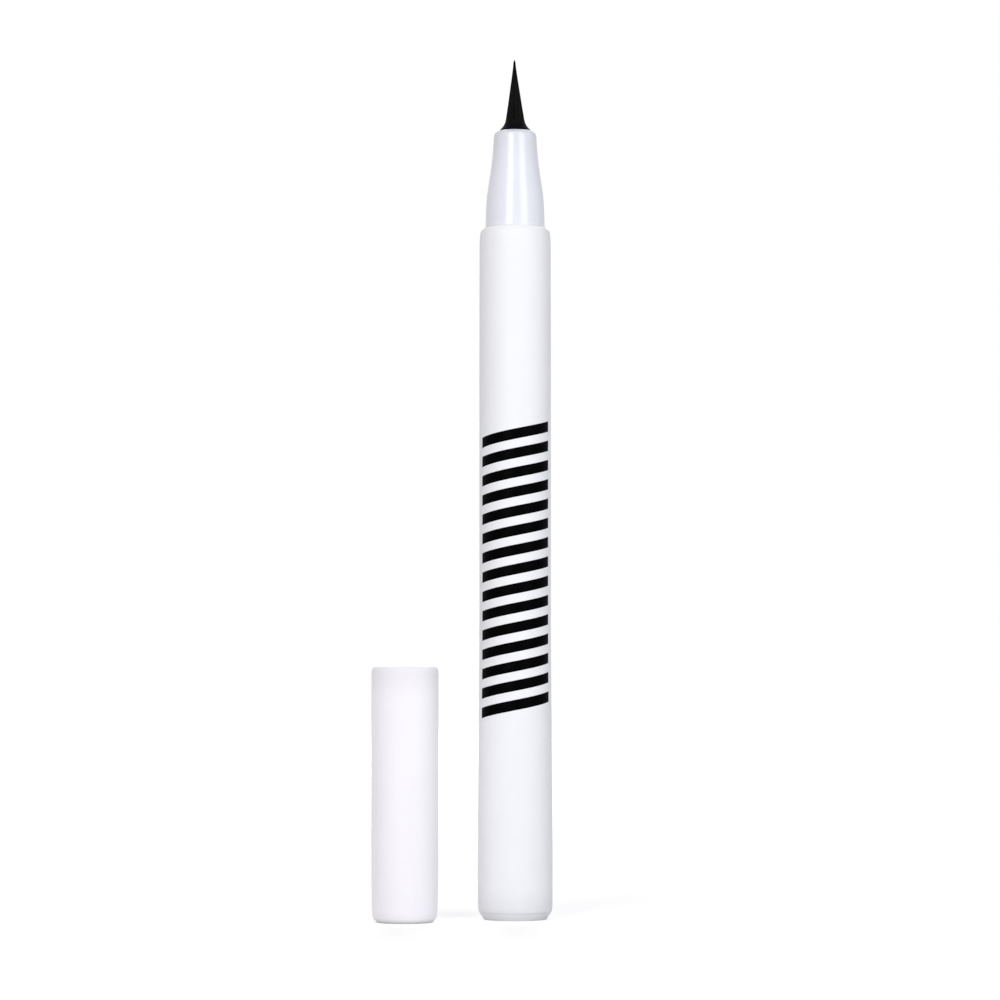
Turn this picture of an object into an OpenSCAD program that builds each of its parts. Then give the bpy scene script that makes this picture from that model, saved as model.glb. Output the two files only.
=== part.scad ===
// Free-ink liquid eyeliner pen, standing on its foot, with its cap off beside it.
// The origin is the centre of the pen's foot, +Z runs up the pen towards the brush,
// and the cap stands to the left of the pen and a little nearer the viewer.

/* [Barrel] */
// Outside diameter of the barrel along the grip
barrel_d = 10.4; // [10:0.1:12]
// How much wider the barrel is near its foot, on the diameter
barrel_swell = 0.4; // [0:0.05:0.8]
// Length of the barrel, from the tail plug's flange to its mouth
barrel_len = 99.3; // [90:0.5:115]
// Wall of the barrel round the ink tank
tank_wall = 1.1; // [1:0.05:1.3]
// Wall of the barrel round the nose cone's skirt
mouth_wall = 0.9; // [0.75:0.05:1]
// Wall of the barrel round the tail plug, where the barrel is not yet swollen
tail_wall = 0.8; // [0.7:0.05:1]
// Depth of the tail plug's seat inside the barrel
tail_seat = 6.6; // [6:0.1:9]
// Chamfer at the mouth of the barrel
mouth_chamfer = 0.58; // [0.3:0.02:0.6]

/* [Tail plug] */
// Height of the plug's visible foot
foot_h = 1; // [0.7:0.1:1.6]
// How much the foot narrows towards the table, on the radius
foot_bevel = 0.65; // [0.2:0.05:1]
// Wire diameter of the rubber seal ring round the plug
seal_d = 1.03; // [0.9:0.01:1.2]

/* [Ink feed] */
// Diameter of the steel mixing ball
ball_d = 4.8; // [3.5:0.1:6]
// Diameter of the fibre feed rod
rod_d = 1.8; // [1.4:0.1:2]
// How far the feed rod dips into the ink below its plug
rod_dip = 4; // [2:0.5:8]
// Thickness of the tank plug's flange
plug_flange_h = 2; // [1.2:0.1:3]
// Length of the tank plug's stem in the tank
plug_stem_h = 6; // [4:0.5:8]
// Length of the collector's comb
comb_len = 13.2; // [9:0.3:13.5]
// Diameter of the collector's core
comb_core_d = 3.4; // [3:0.1:4]
// Distance from one fin of the comb to the next
fin_pitch = 0.66; // [0.55:0.01:0.9]
// Thickness of one fin
fin_t = 0.33; // [0.25:0.01:0.4]
// Width of the ink slot down the comb
comb_slot = 0.5; // [0.3:0.05:0.8]

/* [Nose] */
// Length of the nose cone that shows above the barrel
nose_len = 14.05; // [12:0.05:17]
// Diameter of the nose cone behind its rounded lip
nose_tip_d = 6.14; // [6.1:0.02:6.6]
// Length of the straight land that the cap slides over
nose_land = 1.5; // [1:0.1:3]
// How far the land stands out from the skirt, so that the nose stops on the barrel's mouth
land_step = 0.03; // [0.02:0.01:0.05]
// Height of the undercut below the land, which leaves its edge a clean seat
relief_h = 0.6; // [0.55:0.05:1]
// Depth of that undercut below the skirt's surface, on the radius
relief_depth = 0.2; // [0.18:0.01:0.3]
// Length of the skirt inside the barrel
nose_skirt = 16.2; // [15.5:0.1:18]
// Wall of the skirt round the collector
skirt_wall = 0.68; // [0.6:0.02:0.8]
// Thickness of the nose cone's front wall
lip_t = 2; // [1.4:0.1:2.4]

/* [Brush] */
// Diameter of the fused brush root
root_d = 2.94; // [2.6:0.02:3]
// Length of brush that shows above the collar
brush_len = 9.8; // [7:0.05:12]
// Height of the black collar's flare on the nose
collar_h = 0.8; // [0.5:0.05:1.5]
// Diameter of the flare at its foot
collar_d = 4.42; // [4.3:0.02:4.5]
// Rows of strands across the brush
strand_rows = 19; // [18:1:22]

/* [Cap] */
// Length of the cap
cap_len = 36.4; // [35.5:0.1:40]
// Wall of the cap round its mouth
cap_wall = 0.46; // [0.4:0.01:0.7]
// How much the cap narrows below its mouth, on the diameter
cap_draft = 0.13; // [0:0.01:0.3]
// Thickness of the cap's closed end
cap_floor = 1.4; // [1:0.1:2]
// Depth of the wide bore in the cap's mouth
cap_land = 8.5; // [8.3:0.1:9.5]
// Step in from the wide bore to the narrow bore, on the radius
cap_step = 0.41; // [0.36:0.01:0.45]
// How much narrower the ring's seat is than the wide bore, on the radius
cap_seat_step = 0.2; // [0.16:0.01:0.3]
// Thickness of the ring that keeps the inner cap in
retainer_h = 1.2; // [0.8:0.1:1.4]
// Room between the sealing inner cap and the cap's narrow bore, on the radius
inner_room = 0.4; // [0.35:0.01:0.45]
// Wall of the inner cap
inner_wall = 0.35; // [0.3:0.01:0.45]
// Depth inside the inner cap
inner_depth = 14.3; // [14.1:0.1:15]
// Wire diameter of the spring behind the inner cap
wire_d = 0.5; // [0.35:0.01:0.6]
// Turns of the spring
spring_turns = 6.5; // [5:0.5:7]

/* [Layout] */
// Distance from the pen's axis to the cap's axis, to the left
cap_left = 15.8; // [13:0.1:30]
// How much nearer to the viewer the cap stands
cap_near = 6.55; // [0:0.05:15]

/* [Hidden] */
$fn = 96;

// Clearances, on the radius or between two faces
fit_gap = 0.02;
slide_gap = 0.05;
feed_gap = 0.05;
face_gap = 0.03;
// One overrun that carries every cut past the face it opens
over = 1;

// Barrel: bores that follow from its walls, and the heights that everything stacks on
tank_d = barrel_d - 2 * tank_wall;
mouth_d = barrel_d - 2 * mouth_wall;
tail_d = barrel_d - 2 * tail_wall;
barrel_top = foot_h + barrel_len;
mouth_depth = nose_skirt + plug_flange_h;
plug_seat_z = barrel_top - mouth_depth;
swell_r = (barrel_d + barrel_swell) / 2;
swell_low = 6;
swell_mid = 24;
swell_high = 36;
swell_mid_share = 0.62;
foot_round_w = 0.27;
foot_round_h = 0.9;
mouth_round_w = 0.32;
mouth_round_h = 2.25;
mouth_round_end = 78;
arc_steps = 6;

// Tail plug and its ring
plug_top = foot_h + tail_seat;
foot_top_r = swell_r - foot_round_w;
groove_floor_d = tail_d - 2 * seal_d;
groove_w = seal_d + 4 * slide_gap;
groove_z = foot_h + tail_seat / 2;

// Mixing ball, resting on the tail plug
ball_z = plug_top + face_gap + ball_d / 2;

// Ink feed
rod_hole_d = rod_d + 2 * feed_gap;
rib_h = 0.8;
rib_count = 2;
fin_count = floor(comb_len / fin_pitch);
comb_z = barrel_top - nose_skirt + face_gap;
comb_top = comb_z + comb_len;

// Nose cone
skirt_d = mouth_d - 2 * fit_gap;
land_d = skirt_d + 2 * land_step;
comb_room_d = skirt_d - 2 * skirt_wall;
comb_d = comb_room_d - 2 * feed_gap;
nose_front = barrel_top + nose_len;
lip_round_w = 0.85;
lip_round_h = 0.85;
cone_low_z = barrel_top + nose_land;
cone_high_z = nose_front - lip_round_h;
cone_steps = 14;
low_pull_share = 0.36;
high_pull_share = 0.65;
low_keep_share = 0.933;
high_keep_share = 0.092;

// Brush, its root, seat and collar
seat_wall = 1;
seat_len = 8.4;
seat_d = root_d + 2 * fit_gap + 2 * seat_wall;
seat_bore_d = root_d + 2 * fit_gap;
seat_top = nose_front - lip_t - face_gap;
seat_low = seat_top - seat_len;
root_flange_w = 0.48;
root_flange_h = 1;
root_flange_d = root_d + 2 * root_flange_w;
counter_depth = 3.65;
counter_d = root_flange_d + 2 * fit_gap;
root_low = seat_low + counter_depth - face_gap - root_flange_h;
root_slice = 0.4;
root_top = nose_front + collar_h - root_slice;
root_hole_depth = 4.8;
spigot_d = counter_d - 2 * fit_gap;
stem_d = root_d + 2 * root_flange_w;
stem_hole_d = stem_d + 2 * fit_gap;
collar_top_w = 0.14;
collar_edge_h = 0.1;
collar_bore_d = root_d + 2 * fit_gap;
strand_low = root_top + root_slice;
strand_fill_share = 0.8;
strand_short_share = 0.84;
strand_long_share = 0.965;
golden_share = 0.6180339887;
silver_share = 0.4142135624;

// Cap
cap_mouth_bore = land_d + 2 * slide_gap;
cap_seat_bore = cap_mouth_bore - 2 * cap_seat_step;
cap_mouth_d = cap_mouth_bore + 2 * cap_wall;
cap_d = cap_mouth_d - cap_draft;
cap_bore_d = cap_mouth_bore - 2 * cap_step;
cap_foot_w = 0.75;
cap_foot_h = 1.4;
cap_rim_r = 0.36;
cap_rim_in = 0.12;
draft_low_share = 0.62;
draft_high_share = 0.86;
retainer_z = cap_len - cap_land - retainer_h;
retainer_d = cap_seat_bore - 2 * fit_gap;
retainer_lip = 0.25;
inner_flange_d = cap_bore_d - 2 * slide_gap;
inner_flange_h = 1;
retainer_bore_d = inner_flange_d - 2 * retainer_lip;
inner_top = retainer_z - slide_gap;
inner_d = cap_bore_d - 2 * inner_room;
inner_bore_d = inner_d - 2 * inner_wall;
inner_floor_t = 0.9;
inner_low = inner_top - inner_depth - inner_floor_t;
inner_chamfer = 0.15;
boss_h = 1.2;
boss_gap = 0.25;
spring_d = cap_bore_d - 2 * boss_gap - 4 * slide_gap - wire_d;
boss_d = spring_d - 2 * wire_d - 2 * boss_gap;
spring_low = cap_floor + face_gap;
spring_high = inner_low - face_gap;
rings_per_turn = 8;
wire_sides = 6;

function fract(x) = x - floor(x);

// Points on an ellipse about [cr, cz], from one angle to another
function arc_points(cr, cz, a, b, from, to, steps) = [
    for (i = [0:steps])
        let (t = from + (to - from) * i / steps)
        [cr + a * cos(t), cz + b * sin(t)]
];

// One point of a cubic curve through p[0] and p[3], pulled towards p[1] and p[2]
function cubic(p, t) =
    pow(1 - t, 3) * p[0] + 3 * t * pow(1 - t, 2) * p[1]
    + 3 * t * t * (1 - t) * p[2] + pow(t, 3) * p[3];

// Outline of the barrel, from its foot round the swell to its chamfered mouth
barrel_round_r = barrel_d / 2 - mouth_round_w;
barrel_round_z = barrel_top - mouth_chamfer - mouth_round_h * sin(mouth_round_end);
barrel_mid_r = barrel_d / 2 + barrel_swell / 2 * swell_mid_share;
barrel_outline = concat(
    [[0, foot_h]],
    arc_points(foot_top_r, foot_h + foot_round_h, foot_round_w, foot_round_h, -90, 0, arc_steps),
    [[swell_r, swell_low], [barrel_mid_r, swell_mid], [barrel_d / 2, swell_high]],
    arc_points(barrel_round_r, barrel_round_z, mouth_round_w, mouth_round_h,
        0, mouth_round_end, arc_steps),
    [[barrel_round_r + mouth_round_w * cos(mouth_round_end) - mouth_chamfer, barrel_top],
        [0, barrel_top]]
);

module barrel() {
    color("white")
    difference() {
        rotate_extrude() polygon(barrel_outline);
        translate([0, 0, foot_h - over]) cylinder(d = tail_d, h = tail_seat + over);
        cylinder(d = tank_d, h = barrel_top + over);
        translate([0, 0, plug_seat_z]) cylinder(d = mouth_d, h = mouth_depth + over);
    }
}

// The foot that closes the barrel, with a groove for its seal ring
module tail_plug() {
    color("white")
    difference() {
        union() {
            cylinder(r1 = foot_top_r - foot_bevel, r2 = foot_top_r, h = foot_h);
            cylinder(d = tail_d - 2 * fit_gap, h = plug_top);
        }
        translate([0, 0, groove_z - groove_w / 2])
        difference() {
            cylinder(d = tail_d + over, h = groove_w);
            translate([0, 0, -over]) cylinder(d = groove_floor_d, h = groove_w + 2 * over);
        }
    }
}

module tail_seal_ring() {
    color("dimgray")
    translate([0, 0, groove_z])
    rotate_extrude()
    translate([(groove_floor_d + seal_d) / 2, 0])
    circle(d = seal_d - 2 * fit_gap);
}

module mixing_ball() {
    color("silver") translate([0, 0, ball_z]) sphere(d = ball_d);
}

// Closes the ink tank and lets only the feed rod through
module tank_plug() {
    color("gainsboro")
    difference() {
        union() {
            translate([0, 0, plug_seat_z]) cylinder(d = skirt_d, h = plug_flange_h);
            translate([0, 0, plug_seat_z - plug_stem_h])
                cylinder(d = tank_d - 2 * slide_gap, h = plug_stem_h);
            for (i = [1:rib_count])
                translate([0, 0, plug_seat_z - plug_stem_h * i / (rib_count + 1) - rib_h / 2])
                    cylinder(d = tank_d - 2 * fit_gap, h = rib_h);
        }
        translate([0, 0, plug_seat_z - plug_stem_h - over])
            cylinder(d = rod_hole_d, h = plug_stem_h + plug_flange_h + 2 * over);
    }
}

// Comb that holds back surplus ink, with a spigot that carries the brush root
module collector() {
    color("whitesmoke")
    difference() {
        union() {
            translate([0, 0, comb_z]) cylinder(d = comb_core_d, h = comb_len);
            for (i = [0:fin_count - 1])
                translate([0, 0, comb_z + i * fin_pitch]) cylinder(d = comb_d, h = fin_t);
            translate([0, 0, comb_top - fin_pitch])
                cylinder(d = spigot_d, h = root_low - face_gap - comb_top + fin_pitch);
        }
        translate([0, 0, comb_z - over])
            cylinder(d = rod_hole_d, h = root_low - comb_z + 2 * over);
        translate([(comb_d + comb_core_d) / 4, -comb_slot / 2, comb_z - over])
            cube([comb_d / 2, comb_slot, comb_len + over - fin_t]);
    }
}

// Fibre rod from the ink to the inside of the brush root
module feed_rod() {
    rod_low = plug_seat_z - plug_stem_h - rod_dip;
    rod_high = root_low + root_hole_depth - slide_gap;
    color("lightgray")
    translate([0, 0, rod_low])
    union() {
        cylinder(d = rod_d, h = rod_high - rod_low - rod_d / 2);
        translate([0, 0, rod_high - rod_low - rod_d / 2])
            cylinder(d1 = rod_d, d2 = rod_d / 2, h = rod_d / 2);
    }
}

// Outline of the nose cone: skirt, undercut, land, cone and rounded lip
nose_cone_pulls = [
    [land_d / 2, cone_low_z],
    [nose_tip_d / 2 + (land_d - nose_tip_d) / 2 * low_keep_share,
        cone_low_z + (cone_high_z - cone_low_z) * low_pull_share],
    [nose_tip_d / 2 + (land_d - nose_tip_d) / 2 * high_keep_share,
        cone_low_z + (cone_high_z - cone_low_z) * high_pull_share],
    [nose_tip_d / 2, cone_high_z]
];
nose_low = barrel_top - nose_skirt + slide_gap;
land_low = barrel_top + fit_gap;
nose_outline = concat(
    [[0, nose_low], [skirt_d / 2, nose_low], [skirt_d / 2, land_low - relief_h]],
    [[skirt_d / 2 - relief_depth, land_low - relief_h], [skirt_d / 2 - relief_depth, land_low]],
    [[land_d / 2, land_low]],
    [for (i = [0:cone_steps]) cubic(nose_cone_pulls, i / cone_steps)],
    [for (i = [1:arc_steps])
        arc_points(nose_tip_d / 2 - lip_round_w, cone_high_z, lip_round_w, lip_round_h,
            0, 90, arc_steps)[i]],
    [[0, nose_front]]
);

module nose_cone() {
    color("ghostwhite")
    difference() {
        rotate_extrude() polygon(nose_outline);
        translate([0, 0, comb_z - over])
            cylinder(d = comb_room_d, h = comb_len + over + fin_t);
        cylinder(d = seat_d + 2 * fit_gap, h = nose_front - lip_t);
        cylinder(d = stem_hole_d, h = nose_front + over);
    }
}

// Sleeve inside the nose that centres the brush root
module brush_seat() {
    color("whitesmoke")
    difference() {
        translate([0, 0, seat_low]) cylinder(d = seat_d, h = seat_len);
        translate([0, 0, seat_low - over]) cylinder(d = seat_bore_d, h = seat_len + 2 * over);
        translate([0, 0, seat_low - over]) cylinder(d = counter_d, h = counter_depth + over);
    }
}

// Bristles melted together behind the brush, with a blind hole for the feed rod
module brush_root() {
    color("#181818")
    difference() {
        union() {
            translate([0, 0, root_low]) cylinder(d = root_flange_d, h = root_flange_h);
            translate([0, 0, root_low]) cylinder(d = root_d, h = root_top - root_low);
        }
        translate([0, 0, root_low - over])
            cylinder(d = rod_hole_d, h = root_hole_depth + over);
    }
}

// Black collar: a stem in the nose and a flare that runs up to the bristles
collar_outline = [
    [collar_bore_d / 2, nose_front - lip_t + face_gap],
    [stem_d / 2, nose_front - lip_t + face_gap],
    [stem_d / 2, nose_front],
    [collar_d / 2, nose_front],
    [collar_d / 2, nose_front + collar_edge_h],
    [collar_bore_d / 2 + collar_top_w, nose_front + collar_h],
    [collar_bore_d / 2, nose_front + collar_h]
];

module brush_collar() {
    color("#161616") rotate_extrude() polygon(collar_outline);
}

// Bristles: a square grid of tapered strands drawn into a disc, on a slice of their root.
// Every strand shrinks towards the same point, so no two of them can cross.
grid_points = strand_rows + 1;
middle_row = (strand_rows - 1) / 2;
function disc_point(u, v) = [u * sqrt(1 - v * v / 2), v * sqrt(1 - u * u / 2)] * root_d / 2;
function grid_point(i, j) = disc_point(2 * i / strand_rows - 1, 2 * j / strand_rows - 1);
function corner(i, j, c) = grid_point(i + (c == 1 || c == 2 ? 1 : 0), j + (c > 1 ? 1 : 0));
function cell_middle(i, j) =
    (corner(i, j, 0) + corner(i, j, 1) + corner(i, j, 2) + corner(i, j, 3)) / 4;
function strand_reach(i, j) =
    i == middle_row && j == middle_row ? 1
    : strand_short_share + (strand_long_share - strand_short_share)
        * fract(golden_share * (i + 1) * (j + 2) + silver_share * j);
function at_height(p, z) = [p[0], p[1], z];
function edge_cell(k) =
    k < strand_rows ? [k, 0]
    : k < 2 * strand_rows ? [strand_rows, k - strand_rows]
    : k < 3 * strand_rows ? [3 * strand_rows - k, strand_rows]
    : [0, 4 * strand_rows - k];
edge_count = 4 * strand_rows;
first_base = grid_points * grid_points;
first_tip = first_base + 4 * strand_rows * strand_rows;
first_under = first_tip + strand_rows * strand_rows;
under_middle = first_under + edge_count;
function grid_index(i, j) = i * grid_points + j;
function corner_index(i, j, c) = grid_index(i + (c == 1 || c == 2 ? 1 : 0), j + (c > 1 ? 1 : 0));
function base_index(i, j, c) = first_base + 4 * (i * strand_rows + j) + c;
function tip_index(i, j) = first_tip + i * strand_rows + j;
function edge_index(k) =
    let (e = edge_cell(k % edge_count)) grid_index(e[0], e[1]);
function under_index(k) = first_under + k % edge_count;

bristle_points = concat(
    [for (i = [0:strand_rows], j = [0:strand_rows]) at_height(grid_point(i, j), strand_low)],
    [for (i = [0:strand_rows - 1], j = [0:strand_rows - 1], c = [0:3])
        let (m = cell_middle(i, j))
        at_height(m + (corner(i, j, c) - m) * strand_fill_share, strand_low)],
    [for (i = [0:strand_rows - 1], j = [0:strand_rows - 1])
        let (reach = strand_reach(i, j))
        at_height(cell_middle(i, j) * (1 - reach), strand_low + brush_len * reach)],
    [for (k = [0:edge_count - 1])
        let (e = edge_cell(k)) at_height(grid_point(e[0], e[1]), root_top)],
    [[0, 0, root_top]]
);
bristle_faces = concat(
    [for (i = [0:strand_rows - 1], j = [0:strand_rows - 1], c = [0:3])
        [corner_index(i, j, c), base_index(i, j, c), base_index(i, j, (c + 1) % 4)]],
    [for (i = [0:strand_rows - 1], j = [0:strand_rows - 1], c = [0:3])
        [corner_index(i, j, c), base_index(i, j, (c + 1) % 4), corner_index(i, j, (c + 1) % 4)]],
    [for (i = [0:strand_rows - 1], j = [0:strand_rows - 1], c = [0:3])
        [base_index(i, j, c), tip_index(i, j), base_index(i, j, (c + 1) % 4)]],
    [for (k = [0:edge_count - 1]) [edge_index(k), edge_index(k + 1), under_index(k + 1)]],
    [for (k = [0:edge_count - 1]) [edge_index(k), under_index(k + 1), under_index(k)]],
    [for (k = [0:edge_count - 1]) [under_middle, under_index(k), under_index(k + 1)]]
);

module bristles() {
    color("#141414") polyhedron(points = bristle_points, faces = bristle_faces);
}

// Everything in the cap is drawn about the cap's own axis
module at_cap() {
    translate([-cap_left, -cap_near, 0]) children();
}

cap_outline = concat(
    [[0, 0]],
    arc_points(cap_d / 2 - cap_foot_w, cap_foot_h, cap_foot_w, cap_foot_h, -90, 0, arc_steps),
    [[cap_d / 2, cap_len * draft_low_share], [cap_mouth_d / 2, cap_len * draft_high_share]],
    arc_points(cap_mouth_d / 2 - cap_rim_r, cap_len - cap_rim_r, cap_rim_r, cap_rim_r,
        0, 90, arc_steps),
    [[0, cap_len]]
);

module cap_shell() {
    color("white")
    at_cap()
    difference() {
        rotate_extrude() polygon(cap_outline);
        difference() {
            translate([0, 0, cap_floor]) cylinder(d = cap_bore_d, h = cap_len);
            cylinder(d = boss_d, h = cap_floor + boss_h);
        }
        translate([0, 0, retainer_z]) cylinder(d = cap_seat_bore, h = cap_len);
        translate([0, 0, retainer_z + retainer_h]) cylinder(d = cap_mouth_bore, h = cap_len);
        translate([0, 0, cap_len - cap_rim_in])
            cylinder(d1 = cap_mouth_bore, d2 = cap_mouth_bore + 2 * (cap_rim_in + over),
                h = cap_rim_in + over);
    }
}

// Ring pressed into the cap that stops the inner cap
module cap_retainer() {
    color("whitesmoke")
    at_cap()
    translate([0, 0, retainer_z + fit_gap])
    difference() {
        cylinder(d = retainer_d, h = retainer_h - fit_gap);
        translate([0, 0, -over]) cylinder(d = retainer_bore_d, h = retainer_h + 2 * over);
    }
}

// Sprung cup that seals on the nose cone when the cap is on
module inner_cap() {
    color("lavender")
    at_cap()
    difference() {
        union() {
            translate([0, 0, inner_low]) cylinder(d = inner_d, h = inner_top - inner_low);
            translate([0, 0, inner_top - inner_flange_h])
                cylinder(d = inner_flange_d, h = inner_flange_h);
            translate([0, 0, inner_low - boss_h]) cylinder(d = boss_d, h = boss_h + inner_floor_t);
        }
        translate([0, 0, inner_low + inner_floor_t])
            cylinder(d = inner_bore_d, h = inner_depth + over);
        translate([0, 0, inner_top - inner_chamfer])
            cylinder(d1 = inner_bore_d, d2 = inner_bore_d + 2 * (inner_chamfer + over),
                h = inner_chamfer + over);
    }
}

// Spring: one tube wound along a helix between the cap's floor and the inner cap
ring_count = rings_per_turn * spring_turns;
coil_r = (spring_d - wire_d) / 2;
coil_rise = spring_high - spring_low - wire_d;
function coil_middle(k) =
    let (turn = 360 * k / rings_per_turn)
    [coil_r * cos(turn), coil_r * sin(turn),
        spring_low + wire_d / 2 + coil_rise * k / ring_count];
function coil_out(k) = let (turn = 360 * k / rings_per_turn) [cos(turn), sin(turn), 0];
function coil_along(k) =
    let (turn = 360 * k / rings_per_turn, climb = coil_rise * rings_per_turn / ring_count / 360)
    let (step = [-coil_r * sin(turn) * PI / 180, coil_r * cos(turn) * PI / 180, climb])
    step / norm(step);
function coil_ring(k) = [
    for (s = [0:wire_sides - 1])
        let (a = 360 * s / wire_sides, up = cross(coil_out(k), coil_along(k)))
        coil_middle(k) + wire_d / 2 * (cos(a) * coil_out(k) + sin(a) * up)
];
function coil_index(k, s) = k * wire_sides + s % wire_sides;
coil_points = [for (k = [0:ring_count], p = coil_ring(k)) p];
last_ring = ring_count * wire_sides;
coil_faces = concat(
    [for (k = [0:ring_count - 1], s = [0:wire_sides - 1])
        [coil_index(k, s), coil_index(k, s + 1), coil_index(k + 1, s + 1)]],
    [for (k = [0:ring_count - 1], s = [0:wire_sides - 1])
        [coil_index(k, s), coil_index(k + 1, s + 1), coil_index(k + 1, s)]],
    [[for (s = [0:wire_sides - 1]) wire_sides - 1 - s]],
    [[for (s = [0:wire_sides - 1]) last_ring + s]]
);
// Least gap between one turn and another, on points at least half a turn apart
coil_gap = min([
    for (i = [0:ring_count], j = [0:ring_count])
        if (j - i >= rings_per_turn / 2) norm(coil_middle(i) - coil_middle(j)) - wire_d
]);
echo(spring_least_gap = coil_gap);

module cap_spring() {
    color("gray") at_cap() polyhedron(points = coil_points, faces = coil_faces);
}

barrel();
tail_plug();
tail_seal_ring();
mixing_ball();
tank_plug();
collector();
feed_rod();
nose_cone();
brush_seat();
brush_root();
brush_collar();
bristles();
cap_shell();
cap_retainer();
inner_cap();
cap_spring();
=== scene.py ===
import math

import bpy
import numpy as np
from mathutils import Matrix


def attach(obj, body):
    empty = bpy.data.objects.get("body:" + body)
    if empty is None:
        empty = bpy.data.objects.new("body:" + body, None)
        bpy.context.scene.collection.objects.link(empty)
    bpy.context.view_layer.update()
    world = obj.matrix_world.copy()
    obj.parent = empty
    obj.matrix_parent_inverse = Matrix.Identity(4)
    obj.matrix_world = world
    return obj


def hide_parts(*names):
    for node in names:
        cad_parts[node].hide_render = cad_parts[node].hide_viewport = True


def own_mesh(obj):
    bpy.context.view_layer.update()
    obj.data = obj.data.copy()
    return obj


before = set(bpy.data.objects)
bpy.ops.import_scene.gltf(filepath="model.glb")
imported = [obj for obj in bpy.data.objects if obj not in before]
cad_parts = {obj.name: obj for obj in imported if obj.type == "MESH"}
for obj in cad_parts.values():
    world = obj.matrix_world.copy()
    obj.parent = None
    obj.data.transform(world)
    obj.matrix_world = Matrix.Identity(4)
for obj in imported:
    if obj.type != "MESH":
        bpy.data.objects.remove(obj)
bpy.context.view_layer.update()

mm = 0.001  # the pieces' and camera's sizes are in millimetres, the floor's and lamps' in metres
scene = bpy.context.scene
print("frame loaded,", len(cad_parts), "nodes")


# Shader helpers: a wire is one output socket, and plain Python operators add Math nodes

class Wire:
    def __init__(self, paint, socket):
        self.paint = paint
        self.socket = socket

    def maths(self, operation, *values):
        return self.paint.node("ShaderNodeMath", {"operation": operation}, dict(enumerate(values)))

    def __add__(self, other):
        return self.maths("ADD", self, other)

    def __sub__(self, other):
        return self.maths("SUBTRACT", self, other)

    def __rsub__(self, other):
        return self.maths("SUBTRACT", other, self)

    def __mul__(self, other):
        return self.maths("MULTIPLY", self, other)

    __radd__ = __add__
    __rmul__ = __mul__

    def within(self, low, high):  # 0 below low, 1 above high, smooth between
        return self.paint.node(
            "ShaderNodeMapRange", {"interpolation_type": "SMOOTHSTEP"},
            {"Value": self, "From Min": low, "From Max": high, "To Min": 0.0, "To Max": 1.0},
        )


class Paint:
    def __init__(self, owner):  # owner is a new material or world
        owner.use_nodes = True
        self.owner = owner
        self.tree = owner.node_tree
        self.tree.nodes.clear()

    def node(self, kind, settings=None, sockets=None, out=0):  # any node: settings first, then sockets
        made = self.tree.nodes.new(kind)
        for key, value in (settings or {}).items():
            setattr(made, key, value)
        for key, value in (sockets or {}).items():
            self.join(made.inputs[key], value)
        return Wire(self, made.outputs[out]) if len(made.outputs) else None

    def join(self, socket, value):
        if isinstance(value, Wire):
            self.tree.links.new(value.socket, socket)
        elif isinstance(value, tuple) and len(value) == 3 and socket.type == "RGBA":
            socket.default_value = (*value, 1.0)
        else:
            socket.default_value = value

    def mix(self, amount, first, second):  # colour from first to second
        return self.node("ShaderNodeMix", {"data_type": "RGBA"}, {0: amount, 6: first, 7: second}, 2)

    def place(self, stretch=(1.0, 1.0, 1.0)):  # object coordinates in millimetres, stretched
        spot = self.node("ShaderNodeTexCoord", out=3)
        scale = tuple(1000.0 * s for s in stretch)
        return self.node("ShaderNodeMapping", {}, {"Vector": spot, "Scale": scale})

    def height(self):  # height above the floor in millimetres
        return self.node("ShaderNodeSeparateXYZ", {}, {"Vector": self.place()}, "Z")

    def noise(self, where, scale, detail=3.0, roughness=0.5):
        return self.node(
            "ShaderNodeTexNoise", {},
            {"Vector": where, "Scale": scale, "Detail": detail, "Roughness": roughness},
        )

    def bump(self, height, strength, depth):  # depth in millimetres
        return self.node(
            "ShaderNodeBump", {},
            {"Height": height, "Strength": strength, "Distance": depth * mm},
        )

    def surface(self, sockets):
        shader = self.node("ShaderNodeBsdfPrincipled", {}, sockets)
        self.node("ShaderNodeOutputMaterial", {}, {"Surface": shader})
        return self.owner


def newPaint(name):
    return Paint(bpy.data.materials.new(name))


# Mesh helpers: every new piece is a surface worked out on whole arrays

def meshPiece(name, points, faces, material, body, nodes=()):
    mesh = bpy.data.meshes.new(name)
    mesh.from_pydata(points.reshape(-1, 3).tolist(), [], faces)
    mesh.validate()
    mesh.shade_smooth()
    mesh.materials.append(material)
    piece = bpy.data.objects.new(name, mesh)
    scene.collection.objects.link(piece)
    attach(piece, body)
    if nodes:
        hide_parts(*nodes)
    return piece


def revolve(profile, centre, around):
    # A closed outline of (radius, height) points carried round the axis at centre:
    # x = cx + r cos a, y = cy + r sin a, z = h, for a on a full turn.
    turn = np.arange(around) * 2 * math.pi / around
    r, h = profile[:, 0][:, None], profile[:, 1][:, None]
    points = np.stack([
        centre[0] + r * np.cos(turn), centre[1] + r * np.sin(turn), h + 0 * turn,
    ], axis=2)
    row, step = np.meshgrid(np.arange(len(profile)), np.arange(around), indexing="ij")
    nextRow, nextStep = (row + 1) % len(profile), (step + 1) % around
    quads = np.stack([
        row * around + step, row * around + nextStep,
        nextRow * around + nextStep, nextRow * around + step,
    ], axis=2).reshape(-1, 4)
    return points * mm, quads.tolist()


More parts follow.
